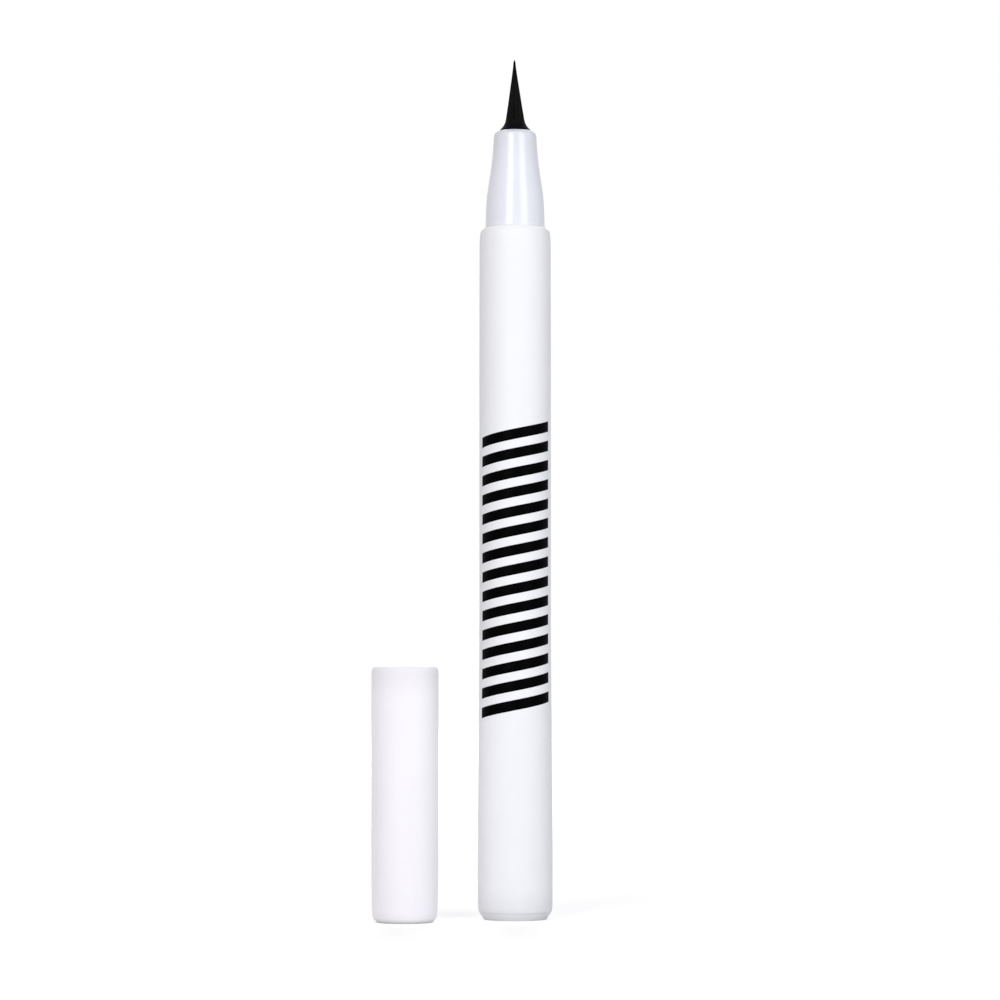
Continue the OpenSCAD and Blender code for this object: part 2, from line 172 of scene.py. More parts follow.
def solidRevolve(profile, centre, around):
    # The same for an outline that starts and ends on the axis: a fan closes each pole.
    inner = profile[1:-1]
    points, quads = revolve(inner, centre, around)
    quads = quads[: (len(inner) - 1) * around]
    poles = np.array([[centre[0], centre[1], profile[i][1]] for i in (0, -1)]) * mm
    low, high = len(inner) * around, len(inner) * around + 1
    last = (len(inner) - 1) * around
    lowFan = [[low, (s + 1) % around, s] for s in range(around)]
    highFan = [[high, last + s, last + (s + 1) % around] for s in range(around)]
    return np.concatenate([points.reshape(-1, 3), poles]), quads + lowFan + highFan


def arc(cr, cz, a, b, start, end, steps):
    # Points of an ellipse about (cr, cz) with half axes a and b, from start to end degrees.
    t = np.radians(np.linspace(start, end, steps + 1))
    return np.stack([cr + a * np.cos(t), cz + b * np.sin(t)], axis=1)


def filleted(corners, steps=5, mostShare=0.45, shortest=1e-6):
    # A closed outline of (r, z, fillet): each corner becomes a quadratic curve that leaves
    # the two sides at the fillet's distance, or at mostShare of a shorter side, and is
    # pulled to the corner. Points nearer than shortest to the one before are dropped.
    corners = np.array(corners, float)
    spot, reach = corners[:, :2], corners[:, 2:3]
    before, after = np.roll(spot, 1, axis=0) - spot, np.roll(spot, -1, axis=0) - spot
    lengthBefore = np.linalg.norm(before, axis=1, keepdims=True)
    lengthAfter = np.linalg.norm(after, axis=1, keepdims=True)
    cutBefore = np.minimum(reach, lengthBefore * mostShare)
    cutAfter = np.minimum(reach, lengthAfter * mostShare)
    start = spot + before / lengthBefore * cutBefore
    end = spot + after / lengthAfter * cutAfter
    t = np.linspace(0, 1, steps + 1)[None, :, None]
    curve = (1 - t) ** 2 * start[:, None] + 2 * t * (1 - t) * spot[:, None] + t * t * end[:, None]
    points = curve.reshape(-1, 2)
    keep = np.linalg.norm(points - np.roll(points, 1, axis=0), axis=1) > shortest
    return points[keep]


def smoothThrough(knots, steps):
    # A smooth curve of (radius, height) through the knots (height, diameter): cubic
    # stretches whose slope at each knot is the mean slope of the two sides.
    knots = np.array(knots, float)
    z, d = knots[:, 0], knots[:, 1]
    slope = np.gradient(d, z)
    at = np.linspace(z[0], z[-1], steps)
    k = np.clip(np.searchsorted(z, at) - 1, 0, len(z) - 2)
    h = z[k + 1] - z[k]
    t = (at - z[k]) / h
    value = (
        (2 * t**3 - 3 * t**2 + 1) * d[k] + (t**3 - 2 * t**2 + t) * h * slope[k]
        + (3 * t**2 - 2 * t**3) * d[k + 1] + (t**3 - t**2) * h * slope[k + 1]
    )
    return np.stack([value / 2, at], axis=1)


def radiusAt(z, knots, steps=400):
    # The radius of the smooth curve through the knots at every height in z.
    curve = smoothThrough(knots, steps)
    return np.interp(z, curve[:, 1], curve[:, 0])


# Materials

def mouldedPlastic(name, p):
    # Moulded white plastic: the tone drifts a little in long streaks down the piece and turns to
    # another tone towards given heights, and a fine grain breaks the gloss. Those end tones are
    # painted shade at the barrel's foot and at the foot's and cap's contact edges, painted light on
    # the barrel's mouth chamfer, and a plain darkening towards the cap's top and the nose's tip.
    paint = newPaint(name)
    drift = paint.noise(paint.place((0.35, 0.35, 0.04)), scale=1.0, detail=2.0)
    cloud = paint.noise(paint.place(), scale=0.22, roughness=0.6)
    fine = paint.noise(paint.place(), scale=9.0, detail=4.0, roughness=0.65)
    streak = paint.noise(paint.place((2.5, 2.5, 0.12)), scale=1.0)
    colour = paint.mix((drift * 0.6 + cloud * 0.4).within(0.3, 0.7), p["shade"], p["tone"])
    height = paint.height()
    for start, full, amount, tone in p["ends"]:  # heights in mm where it starts and is full
        colour = paint.mix(height.within(start, full) * amount, colour, tone)
    coat = p["coat"]
    if p["bare"]:  # heights in mm between which the coat thins out
        coat = (1.0 - height.within(*p["bare"])) * coat
    return paint.surface({
        "Base Color": colour, "IOR": 1.46, "Specular IOR Level": p["gloss"],
        "Roughness": (fine - 0.5) * 0.10 + (streak - 0.5) * 0.06 + p["roughness"],
        "Coat Weight": coat, "Coat Roughness": p["coatRoughness"], "Coat IOR": p["coatIor"],
        "Diffuse Roughness": p["velvet"],
        "Normal": paint.bump(fine * p["grain"] + streak * p["flow"], strength=0.35, depth=0.02),
    })


def inkPrint(name, p):
    # Printed black ink: nearly flat black, with a faint orange-peel gloss.
    paint = newPaint(name)
    peel = paint.noise(paint.place(), scale=3.2)
    pin = paint.noise(paint.place(), scale=14.0, detail=2.0)
    colour = paint.mix(pin.within(0.35, 0.75), p["tone"], p["thinTone"])
    return paint.surface({
        "Base Color": colour, "Roughness": (peel - 0.5) * 0.12 + p["roughness"], "IOR": 1.45,
        "Specular IOR Level": p["gloss"], "Normal": paint.bump(peel, strength=0.2, depth=0.01),
    })


def wetFibre(name, p):
    # Ink-soaked filament: each fibre has a tone of its own, and ink pools in dark bands.
    paint = newPaint(name)
    own = paint.node("ShaderNodeAttribute", {"attribute_name": "fibreTone"}, {}, 2)
    band = paint.noise(paint.place((1.2, 1.2, 0.5)), scale=1.6)
    dry = (own * 0.6 + band * 0.5).within(0.35, 0.85)
    colour = paint.mix(dry, p["tone"], p["dryTone"])
    scales = paint.noise(paint.place((1.0, 1.0, 0.3)), scale=30.0, detail=2.0)
    return paint.surface({
        "Base Color": colour, "Roughness": band * 0.2 + p["roughness"], "IOR": 1.45,
        "Specular IOR Level": p["gloss"], "Normal": paint.bump(scales, strength=0.2, depth=0.006),
    })


def collarBlack(name, p):
    # Black nylon collar, wet with ink: glossy in patches, with a cold tint that goes where
    # the ink has climbed its top half millimetre.
    paint = newPaint(name)
    film = paint.noise(paint.place(), scale=2.4)
    cold = paint.mix(film, *p["coldTones"])
    soaked = paint.mix(film, *p["soakedTones"])
    colour = paint.mix(paint.height().within(*p["climb"]), cold, soaked)
    return paint.surface({
        "Base Color": colour, "Roughness": film.within(0.3, 0.7) * 0.22 + p["roughness"], "IOR": 1.5,
        "Specular IOR Level": p["gloss"], "Normal": paint.bump(film, strength=0.15, depth=0.02),
    })


def bondedFibre(name, p):
    # Fibre rod: fine lengthwise strands, some stained by ink.
    paint = newPaint(name)
    strand = paint.noise(paint.place((9.0, 9.0, 0.3)), scale=1.0, detail=4.0, roughness=0.6)
    stain = paint.noise(paint.place(), scale=0.5, detail=2.0)
    dry = paint.mix(strand, p["shade"], p["tone"])
    return paint.surface({
        "Base Color": paint.mix(stain.within(0.5, 0.65) * 0.8, dry, p["inkTone"]),
        "Roughness": strand * 0.1 + p["roughness"],
        "Normal": paint.bump(strand, strength=0.5, depth=0.03),
    })


def rubberSeal(name, p):
    # Dark rubber: matt, with a fine moulding grain.
    paint = newPaint(name)
    grain = paint.noise(paint.place(), scale=8.0)
    return paint.surface({
        "Base Color": paint.mix(grain, p["shade"], p["tone"]),
        "Roughness": grain * 0.15 + p["roughness"],
        "Normal": paint.bump(grain, strength=0.3, depth=0.02),
    })


def wireSteel(name, p):
    # Drawn or ground steel: fine scratches along the way it was worked.
    paint = newPaint(name)
    scratch = paint.noise(paint.place(p["stretch"]), scale=4.0, detail=4.0, roughness=0.6)
    dark = tuple(p["shadeShare"] * c for c in p["tone"])
    return paint.surface({
        "Base Color": paint.mix(scratch, dark, p["tone"]), "Metallic": 1.0,
        "Roughness": scratch * 0.15 + p["roughness"],
        "Normal": paint.bump(scratch, strength=0.15, depth=0.005),
    })


# Two tones for the ends of moulded pieces. The darker one is painted shade at the barrel's foot and at
# the foot's and cap's contact edges, and elsewhere only darkens the cap's top and the nose's tip. The
# pale one is painted light on the barrel's mouth chamfer.
darkEndTone = (0.35, 0.35, 0.36)
paintedMouthLight = (0.985, 0.985, 0.995)
innerLook = {
    "tone": (0.80, 0.81, 0.82), "shade": (0.74, 0.75, 0.77), "ends": [],
    "roughness": 0.45, "grain": 0.5, "flow": 0.5, "gloss": 0.5, "velvet": 0.0,
    "coat": 0.0, "coatIor": 1.5, "coatRoughness": 0.27, "bare": (),
}
sealCupLook = innerLook | {
    "tone": (0.82, 0.82, 0.88), "shade": (0.77, 0.77, 0.84),
    "roughness": 0.32, "grain": 0.3, "flow": 0.4,
}
# Painted shade: the darker end tone darkens the barrel towards its foot. Painted light: the pale mouth
# tone lifts its mouth chamfer to near white.
barrelLook = innerLook | {
    "tone": (0.915, 0.92, 0.955), "shade": (0.89, 0.895, 0.935),
    "ends": [(5.5, 1.2, 0.12, darkEndTone), (99.5, 99.75, 1.0, paintedMouthLight)],
    "roughness": 0.42, "grain": 0.6, "flow": 0.4, "gloss": 0.03,
    "coat": 0.05, "coatIor": 2.2, "coatRoughness": 0.4,
}
# Painted shade: the foot is the barrel's plastic in a darker tone for its downward bevel, and the
# darker end tone darkens it further towards its contact edge.
footLook = barrelLook | {
    "tone": (0.89, 0.895, 0.93), "ends": [(0.9, 0.0, 0.16, darkEndTone)],
}
# Painted shade: the darker end tone darkens the cap towards its contact edge. Towards the top of its
# side the cap also turns a little darker.
capLook = innerLook | {
    "tone": (0.96, 0.945, 0.985), "shade": (0.94, 0.925, 0.97),
    "ends": [(0.35, 0.0, 0.45, darkEndTone), (31.0, 36.4, 0.11, darkEndTone)],
    "roughness": 0.40, "grain": 0.6, "flow": 0.3, "gloss": 0.03, "velvet": 0.4,
    "coat": 0.08, "coatIor": 2.2, "coatRoughness": 0.45,
}
# The darker end tone makes the nose a little darker towards its tip.
noseLook = innerLook | {
    "tone": (0.815, 0.825, 0.905), "shade": (0.795, 0.805, 0.89),
    "ends": [(107.0, 114.5, 0.12, darkEndTone)],
    "roughness": 0.32, "grain": 0.08, "flow": 0.25, "gloss": 0.03,
    "coat": 0.45, "coatIor": 1.9, "coatRoughness": 0.17, "bare": (113.7, 114.3),
}
inkLook = {
    "tone": (0.0003, 0.0003, 0.0005), "thinTone": (0.0016, 0.0016, 0.0021),
    "roughness": 0.36, "gloss": 0.015,
}
fibreLook = {
    "tone": (0.0015, 0.0015, 0.0015), "dryTone": (0.0095, 0.0098, 0.0086),
    "roughness": 0.42, "gloss": 0.04,
}
collarLook = {
    "coldTones": ((0.001, 0.0013, 0.0028), (0.0035, 0.0045, 0.0085)),
    "soakedTones": ((0.0025, 0.0025, 0.0023), (0.0075, 0.0077, 0.0068)),
    "climb": (115.0, 115.4), "roughness": 0.28, "gloss": 0.02,
}
rodLook = {
    "tone": (0.72, 0.71, 0.68), "shade": (0.48, 0.47, 0.45), "inkTone": (0.03, 0.03, 0.035),
    "roughness": 0.82,
}
sealLook = {"tone": (0.04, 0.04, 0.04), "shade": (0.018, 0.018, 0.018), "roughness": 0.6}
ballLook = {
    "tone": (0.62, 0.62, 0.64), "shadeShare": 0.8, "stretch": (1.0, 1.0, 1.0), "roughness": 0.12,
}
springLook = {
    "tone": (0.55, 0.55, 0.57), "shadeShare": 0.8, "stretch": (1.0, 1.0, 6.0), "roughness": 0.25,
}
barrelPlastic = mouldedPlastic("barrelPlastic", barrelLook)
footPlastic = mouldedPlastic("footPlastic", footLook)
capPlastic = mouldedPlastic("capPlastic", capLook)
nosePlastic = mouldedPlastic("nosePlastic", noseLook)
innerPlastic = mouldedPlastic("innerPlastic", innerLook)
innerCapPlastic = mouldedPlastic("innerCapPlastic", sealCupLook)
printBlack = inkPrint("printInk", inkLook)
fibreBlack = wetFibre("wetFibre", fibreLook)
collarPlastic = collarBlack("collarBlack", collarLook)
rodFibre = bondedFibre("bondedFibre", rodLook)
sealRubber = rubberSeal("rubberSeal", sealLook)
ballSteel = wireSteel("ballSteel", ballLook)
springSteel = wireSteel("springSteel", springLook)
print("materials made")


# Barrel: satin tube with a slight swell at its foot and a chamfered mouth

barrelSizes = {
    "knots": [
        (2.5, 10.79), (6.0, 10.8), (24.0, 10.64), (37.0, 10.4),
        (60.0, 10.37), (82.0, 10.38), (97.5, 10.34),
    ],
    "mouth": [(5.13, 98.8, 0.5), (5.0, 99.64, 0.13), (4.335, 100.2, 0.03)],
    "bores": [
        (4.3, 100.2, 0.02), (4.3, 82.1, 0.1), (4.1, 82.1, 0.1), (4.1, 7.6, 0.1), (4.4, 7.6, 0.1),
    ],
    "foot": [(4.4, 0.994, 0.03), (5.15, 0.994, 0.005), (5.27, 1.15, 0.1), (5.36, 1.6, 0.3)],
    "steps": 60, "around": 256,
}


def barrelOutline(s):
    # Up the smooth side through the knots, then a filleted line over the mouth, down the
    # two bores and round the foot. Knots are (height, diameter), corners (r, z, fillet).
    side = smoothThrough(s["knots"], s["steps"])
    rest = filleted([
        (side[-1, 0], side[-1, 1], 0.0), *s["mouth"], *s["bores"], *s["foot"],
        (side[0, 0], side[0, 1], 0.0),
    ])
    return np.concatenate([side, rest[1:-1]])


points, faces = revolve(barrelOutline(barrelSizes), (0, 0), barrelSizes["around"])
meshPiece("barrelTube", points, faces, barrelPlastic, "pen", ["barrel"])


# Tail plug: the bevelled foot, with its stem and ring groove inside the barrel

plugSizes = {
    "footR": 4.5, "rimR": 5.14, "flangeZ": 0.988, "stemR": 4.38, "stemTopZ": 7.6,
    "grooveLowZ": 3.685, "grooveHighZ": 4.915, "grooveR": 3.37, "around": 192,
    "footFillet": 0.12, "rimFillet": 0.005, "neckFillet": 0.05, "grooveFillet": 0.06,
    "stemFillet": 0.25,
}


def plugOutline(s):
    # A filleted line from the axis out along the foot, up the bevel to the flange, and up
    # the stem with a square groove for the ring.
    soft = s["grooveFillet"]
    return filleted([
        (0, 0, 0), (s["footR"], 0, s["footFillet"]), (s["rimR"], s["flangeZ"], s["rimFillet"]),
        (s["stemR"], s["flangeZ"], s["neckFillet"]),
        (s["stemR"], s["grooveLowZ"], soft), (s["grooveR"], s["grooveLowZ"], soft),
        (s["grooveR"], s["grooveHighZ"], soft), (s["stemR"], s["grooveHighZ"], soft),
        (s["stemR"], s["stemTopZ"], s["stemFillet"]), (0, s["stemTopZ"], 0),
    ])


points, faces = solidRevolve(plugOutline(plugSizes), (0, 0), plugSizes["around"])
meshPiece("tailFoot", points, faces, footPlastic, "pen", ["tail_plug"])


# Nose cone: glossy, near straight behind its lip and again above the barrel

noseSizes = {
    "knots": [
        (100.24, 8.61), (102.4, 8.48), (104.3, 8.28), (105.3, 8.06),
        (107.0, 7.56), (109.0, 6.96), (111.0, 6.52), (113.2, 6.215),
    ],
    "lip": [(3.07, 113.72, 0.3), (2.93, 113.96, 0.1), (2.4, 114.31, 0.2), (1.97, 114.35, 0.03)],
    "seat": [(1.97, 112.35, 0.04), (2.5, 112.35, 0.04), (2.5, 97.6, 0.1), (3.6, 97.6, 0.2)],
    "skirt": [
        (3.6, 84.15, 0.1), (4.28, 84.15, 0.15), (4.28, 99.62, 0.05), (4.08, 99.62, 0.02),
        (4.08, 100.21, 0.02),
    ],
    "baseFillet": 0.02, "steps": 48, "around": 256,
}


def noseOutline(s):
    # Up the smooth cone through the knots, then a filleted line over the lip, down the
    # brush's seat and the inside, and back up the outside of the skirt to the cone's base.
    cone = smoothThrough(s["knots"], s["steps"])
    baseZ = s["skirt"][-1][1]
    rest = filleted([
        (cone[-1, 0], cone[-1, 1], 0.0), *s["lip"], *s["seat"], *s["skirt"],
        (cone[0, 0], baseZ, s["baseFillet"]), (cone[0, 0], cone[0, 1], 0.0),
    ])
    return np.concatenate([cone, rest[1:-1]])


points, faces = revolve(noseOutline(noseSizes), (0, 0), noseSizes["around"])
meshPiece("noseCone", points, faces, nosePlastic, "pen", ["nose_cone"])
print("barrel, foot and nose made")


# Collar: black, a short flat edge on the nose and a hollow flare up to the bristles

collarSizes = {
    "footR": 2.21, "footZ": 114.36, "edgeH": 0.1, "topR": 1.39, "topZ": 115.9, "curve": 1.75,
    "lipW": 0.03, "lipH": 0.02, "boreR": 1.49, "boreTopZ": 115.1,
    "stemR": 1.93, "stemLowZ": 112.38, "boreFillet": 0.03, "stemFillet": 0.05,
    "underZ": 114.355, "underFillet": 0.01, "bevelW": 0.05, "bevelH": 0.02,
    "steps": 22, "around": 160,
}


def collarOutline(s):
    # The flare's radius falls from the foot to the top as (1 - t) to the power of its curve.
    # A filleted line goes on down the bore, up the stem and out under the foot.
    t = np.linspace(0, 1, s["steps"])
    flareLow = s["footZ"] + s["edgeH"]
    flare = np.stack([
        s["topR"] + (s["footR"] - s["topR"]) * (1 - t) ** s["curve"],
        flareLow + (s["topZ"] - flareLow) * t,
    ], axis=1)
    inside = filleted([
        (s["topR"], s["topZ"], 0.0), (s["topR"] - s["lipW"], s["topZ"] - s["lipH"], 0.0),
        (s["boreR"], s["boreTopZ"], 0.0), (s["boreR"], s["stemLowZ"], s["boreFillet"]),
        (s["stemR"], s["stemLowZ"], s["stemFillet"]), (s["stemR"], s["underZ"], s["underFillet"]),
        (s["footR"] - s["bevelW"], s["underZ"], 0.0), (s["footR"], s["footZ"] + s["bevelH"], 0.0),
    ])
    return np.concatenate([flare, inside[1:]])


points, faces = revolve(collarOutline(collarSizes), (0, 0), collarSizes["around"])
meshPiece("brushFlare", points, faces, collarPlastic, "pen", ["brush_collar"])


# Bristles: tapered filaments drawn together by the ink into one fine point

brushSizes = {
    "fibres": 760, "rings": 22, "sides": 6, "rootZ": 114.76, "apexZ": 124.94,
    "knots": [
        (114.76, 2.93), (115.3, 2.84), (115.9, 2.72), (117.06, 2.37), (118.24, 2.0), (119.41, 1.66),
        (120.59, 1.31), (121.77, 0.96), (122.36, 0.79), (122.95, 0.63), (123.53, 0.48), (124.12, 0.35),
        (124.6, 0.24), (124.94, 0.05),
    ],
    "fibreShare": 0.047, "thinShare": 0.9, "thickSpread": 0.2, "spreadShare": 0.955,
    "finest": 0.0012, "taperPower": 5,
    "shortest": 0.86, "edgeShorter": 0.05, "tipFibres": 7, "tipStep": 0.012,
    "twist": 0.12, "bow": 0.012, "bowTurns": 1.3, "lean": -0.1, "seed": 11,
}


def brushFibres(s):
    # Fibre i starts at (sqrt share, golden angle) in a disc, and every fibre keeps its
    # share of the brush's radius as it rises, so they draw together and never cross.
    # A few in the middle reach the point, each a step shorter than the one before.
    rng = np.random.default_rng(s["seed"])
    count, rings, sides = s["fibres"], s["rings"], s["sides"]
    order = np.arange(count)
    share = np.sqrt((order + 0.5) / count)
    angle = order * math.pi * (3 - math.sqrt(5))
    length = s["shortest"] + (1 - s["shortest"]) * rng.random(count) ** 0.5
    length = np.minimum(length, 1 - s["edgeShorter"] * share)
    length = np.where(order < s["tipFibres"], 1.0 - s["tipStep"] * order, length)
    t = np.linspace(0, 1, rings)
    climb = length[:, None] * t[None, :]
    z = s["rootZ"] + (s["apexZ"] - s["rootZ"]) * climb
    envelope = radiusAt(z, s["knots"])
    bow = s["bow"] * np.sin(2 * math.pi * (climb * s["bowTurns"] + rng.random((count, 1))))
    swing = angle[:, None] + s["twist"] * climb + bow
    spread = (share[:, None] * s["spreadShare"]) * envelope
    centre = np.stack([spread * np.cos(swing) + s["lean"] * climb, spread * np.sin(swing), z], axis=2)
    taper = np.sqrt(np.clip(1 - t ** s["taperPower"], 0, 1))[None, :]
    thickness = s["thinShare"] + s["thickSpread"] * rng.random((count, 1))
    radius = np.maximum(s["fibreShare"] * envelope * thickness * taper, s["finest"])
    side = np.arange(sides) * 2 * math.pi / sides
    ring = np.stack([np.cos(side), np.sin(side), 0 * side], axis=1)
    points = centre[:, :, None, :] + radius[:, :, None, None] * ring[None, None]
    return points, rng.random(count)


def tubeFaces(count, rings, sides):
    # Quads round every tube, and one flat face over each of its ends.
    tube, row, step = np.meshgrid(
        np.arange(count), np.arange(rings - 1), np.arange(sides), indexing="ij",
    )
    first = (tube * rings + row) * sides
    quads = np.stack([
        first + step, first + (step + 1) % sides,
        first + sides + (step + 1) % sides, first + sides + step,
    ], axis=3).reshape(-1, 4)
    starts = (np.arange(count) * rings * sides)[:, None] + np.arange(sides)[None, ::-1]
    ends = ((np.arange(count) * rings + rings - 1) * sides)[:, None] + np.arange(sides)[None, :]
    return quads.tolist() + starts.tolist() + ends.tolist()


points, tones = brushFibres(brushSizes)
faces = tubeFaces(brushSizes["fibres"], brushSizes["rings"], brushSizes["sides"])
brush = meshPiece("brushFibres", points * mm, faces, fibreBlack, "pen", ["bristles"])
perFibre = brushSizes["rings"] * brushSizes["sides"]
tone = brush.data.attributes.new("fibreTone", "FLOAT", "POINT")
tone.data.foreach_set("value", np.repeat(tones, perFibre).astype(np.float32))
print("brush made,", brushSizes["fibres"], "fibres")


# Print: a ladder of slanted bars of black ink round the front of the barrel

printSizes = {
    "lowZ": 29.0, "highZ": 71.9, "bars": 15, "inkShare": 0.54, "halfArc": 66.0, "slant": 2.4,
    "proud": 0.018, "sunk": 0.02, "across": 56, "up": 6,
}


def slabFaces(start, across, up):
    # A slab of two grids, inner then outer, with a wall round their shared edge.
    i, j = np.meshgrid(np.arange(across - 1), np.arange(up - 1), indexing="ij")
    outer = start + across * up
    here, there = i * up + j, (i + 1) * up + j
    quad = np.stack([here, there, there + 1, here + 1], axis=2).reshape(-1, 4)
    edge = np.concatenate([
        np.arange(across) * up, (across - 1) * up + np.arange(1, up),
        np.arange(across - 2, -1, -1) * up + up - 1, np.arange(up - 2, 0, -1),
    ])
    after = np.roll(edge, -1)
    wall = np.stack([start + edge, start + after, outer + after, outer + edge], axis=1)
    return (outer + quad).tolist() + (start + quad[:, ::-1]).tolist() + wall.tolist()


def printBars(s):
    # Bar k is a patch of the barrel's own surface: u runs round the arc and v up the bar,
    # z = start + slant * u + thickness * v, and the radius is the barrel's plus the ink.
    pitch = (s["highZ"] - s["lowZ"] - s["slant"]) / (s["bars"] - 1 + s["inkShare"])
    thick = pitch * s["inkShare"]
    u = np.linspace(0, 1, s["across"])[:, None]
    v = np.linspace(0, 1, s["up"])[None, :]
    turn = np.radians(-90 + s["halfArc"] * (2 * u - 1)) + 0 * v
    shapes, faces = [], []
    for bar in range(s["bars"]):
        z = s["lowZ"] + bar * pitch + s["slant"] * u + thick * v
        face = radiusAt(z, barrelSizes["knots"])
        start = sum(len(shape) for shape in shapes)
        for lift in (-s["sunk"], s["proud"]):
            r = face + lift
            shapes.append(np.stack([r * np.cos(turn), r * np.sin(turn), z], axis=2).reshape(-1, 3))
        faces += slabFaces(start, s["across"], s["up"])
    return np.concatenate(shapes), faces


points, faces = printBars(printSizes)
meshPiece("printBars", points * mm, faces, printBlack, "pen")
print("print made")


# Cap: satin tube with a rounded foot and a thin rim, standing on its closed end

capSizes = {
    "centre": (-15.8, -6.55),
    "foot": [(3.95, 0.0, 0.15), (4.5, 0.52, 0.2), (4.66, 1.2, 0.3)],
    "knots": [
        (1.75, 9.395), (3.0, 9.44), (6.0, 9.525), (13.0, 9.58),
        (20.0, 9.605), (26.0, 9.615), (31.5, 9.624), (35.5, 9.59),
    ],
    "rimW": 0.44, "rimH": 0.9, "rimTurn": 84, "rimSteps": 12,
    "boreR": 4.36, "boreDrop": 0.05, "boreFillet": 0.03,
    "seat": [(4.36, 27.9, 0.03), (4.16, 27.9, 0.03), (4.16, 26.7, 0.03), (3.95, 26.7, 0.03)],
    "floor": [(3.95, 1.4, 0.3), (2.6, 1.4, 0.1), (2.6, 2.6, 0.15), (0, 2.6, 0.0)],
    "steps": 50, "around": 256,
}


def capOutline(s):
    # From the axis out along the rounded foot, up the smooth side through the knots, over
    # the rim as nearly a quarter ellipse, and down the bore past the ring's seat to the floor.
    side = smoothThrough(s["knots"], s["steps"])
    rim = arc(
        side[-1, 0] - s["rimW"], side[-1, 1], s["rimW"], s["rimH"], 0, s["rimTurn"], s["rimSteps"],
    )
    foot = filleted([(0, 0, 0.0), *s["foot"], (side[0, 0], side[0, 1], 0.0)])
    inside = filleted([
        (rim[-1, 0], rim[-1, 1], 0.0), (s["boreR"], rim[-1, 1] - s["boreDrop"], s["boreFillet"]),
        *s["seat"], *s["floor"],
    ])
    return np.concatenate([foot, side[1:], rim[1:], inside[1:]])


points, faces = solidRevolve(capOutline(capSizes), capSizes["centre"], capSizes["around"])
meshPiece("capTube", points, faces, capPlastic, "cap", ["cap_shell"])


# Cap's ring and sealing cup, seen from above through the mouth

ringSizes = {
    "outerR": 4.14, "holeR": 3.65, "lowZ": 26.72, "topZ": 27.9, "around": 192,
    "lowFillet": 0.06, "topFillet": 0.1, "holeTopFillet": 0.18, "holeLowFillet": 0.12,
}
cupSizes = {
    "flangeR": 3.9, "topZ": 26.65, "flangeLowZ": 25.65, "wallR": 3.55, "boreR": 3.2,
    "floorZ": 12.35, "lowZ": 11.45, "bossR": 2.6, "bossZ": 10.25, "around": 192,
    "bossFillet": 0.15, "stepFillet": 0.1, "heelFillet": 0.3, "flangeFillet": 0.08,
    "lead": 0.15, "leadTopFillet": 0.05, "leadLowFillet": 0.08, "floorFillet": 0.4,
}


def ringOutline(s):
    # A rectangle with four fillets of its own.
    return filleted([
        (s["outerR"], s["lowZ"], s["lowFillet"]), (s["outerR"], s["topZ"], s["topFillet"]),
        (s["holeR"], s["topZ"], s["holeTopFillet"]), (s["holeR"], s["lowZ"], s["holeLowFillet"]),
    ])


def cupOutline(s):
    # A filleted line from the axis out over the boss, up the wall and round the flange, and
    # back down the bore, behind a bevelled lead, to the floor.
    soft = s["flangeFillet"]
    return filleted([
        (0, s["bossZ"], 0.0), (s["bossR"], s["bossZ"], s["bossFillet"]),
        (s["bossR"], s["lowZ"], s["stepFillet"]), (s["wallR"], s["lowZ"], s["heelFillet"]),
        (s["wallR"], s["flangeLowZ"], soft), (s["flangeR"], s["flangeLowZ"], soft),
        (s["flangeR"], s["topZ"], soft), (s["boreR"] + s["lead"], s["topZ"], s["leadTopFillet"]),
        (s["boreR"], s["topZ"] - s["lead"], s["leadLowFillet"]),
        (s["boreR"], s["floorZ"], s["floorFillet"]), (0, s["floorZ"], 0.0),
    ])


points, faces = revolve(ringOutline(ringSizes), capSizes["centre"], ringSizes["around"])
meshPiece("capRing", points, faces, innerPlastic, "cap", ["cap_retainer"])
points, faces = solidRevolve(cupOutline(cupSizes), capSizes["centre"], cupSizes["around"])
meshPiece("sealCup", points, faces, innerCapPlastic, "seal_cup", ["inner_cap"])


# Spring behind the sealing cup: round wire with a closed turn at each end, pressed by the cup

springSizes = {
    "wireR": 0.25, "coilR": 3.1, "lowZ": 1.43, "highZ": 11.42, "turns": 6.5,
    "perTurn": 40, "sides": 12, "closedTurns": 0.8, "closedRise": 0.52,
    "seatZ": 1.4, "travel": 1.4,
}


def springCoil(s, centre):
    # The wire's middle runs round at the coil's radius and climbs slowly over each closed end
    # and evenly between. Round each of its points stands a ring: out * cos b + up * sin b.
    t = np.linspace(0, s["turns"], int(s["turns"] * s["perTurn"]) + 1)
    rise = s["highZ"] - s["lowZ"] - 2 * s["wireR"]
    climb = np.interp(
        t, [0, s["closedTurns"], s["turns"] - s["closedTurns"], s["turns"]],
        [0, s["closedRise"], rise - s["closedRise"], rise],
    )
    turn = 2 * math.pi * t
    out = np.stack([np.cos(turn), np.sin(turn), 0 * t], axis=1)
    middle = s["coilR"] * out + np.stack([0 * t, 0 * t, s["lowZ"] + s["wireR"] + climb], axis=1)
    along = np.gradient(middle, axis=0)
    up = np.cross(along / np.linalg.norm(along, axis=1, keepdims=True), out)
    b = (np.arange(s["sides"]) * 2 * math.pi / s["sides"])[None, :, None]
    points = middle[:, None] + s["wireR"] * (np.cos(b) * out[:, None] + np.sin(b) * up[:, None])
    return points + np.array([centre[0], centre[1], 0]), len(t)


points, rings = springCoil(springSizes, capSizes["centre"])
faces = tubeFaces(1, rings, springSizes["sides"])
spring = meshPiece("coilSpring", points * mm, faces, springSteel, "cap", ["cap_spring"])
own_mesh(spring)
print("cap made")


# Inner pieces that keep their CAD shape get their finish by slot

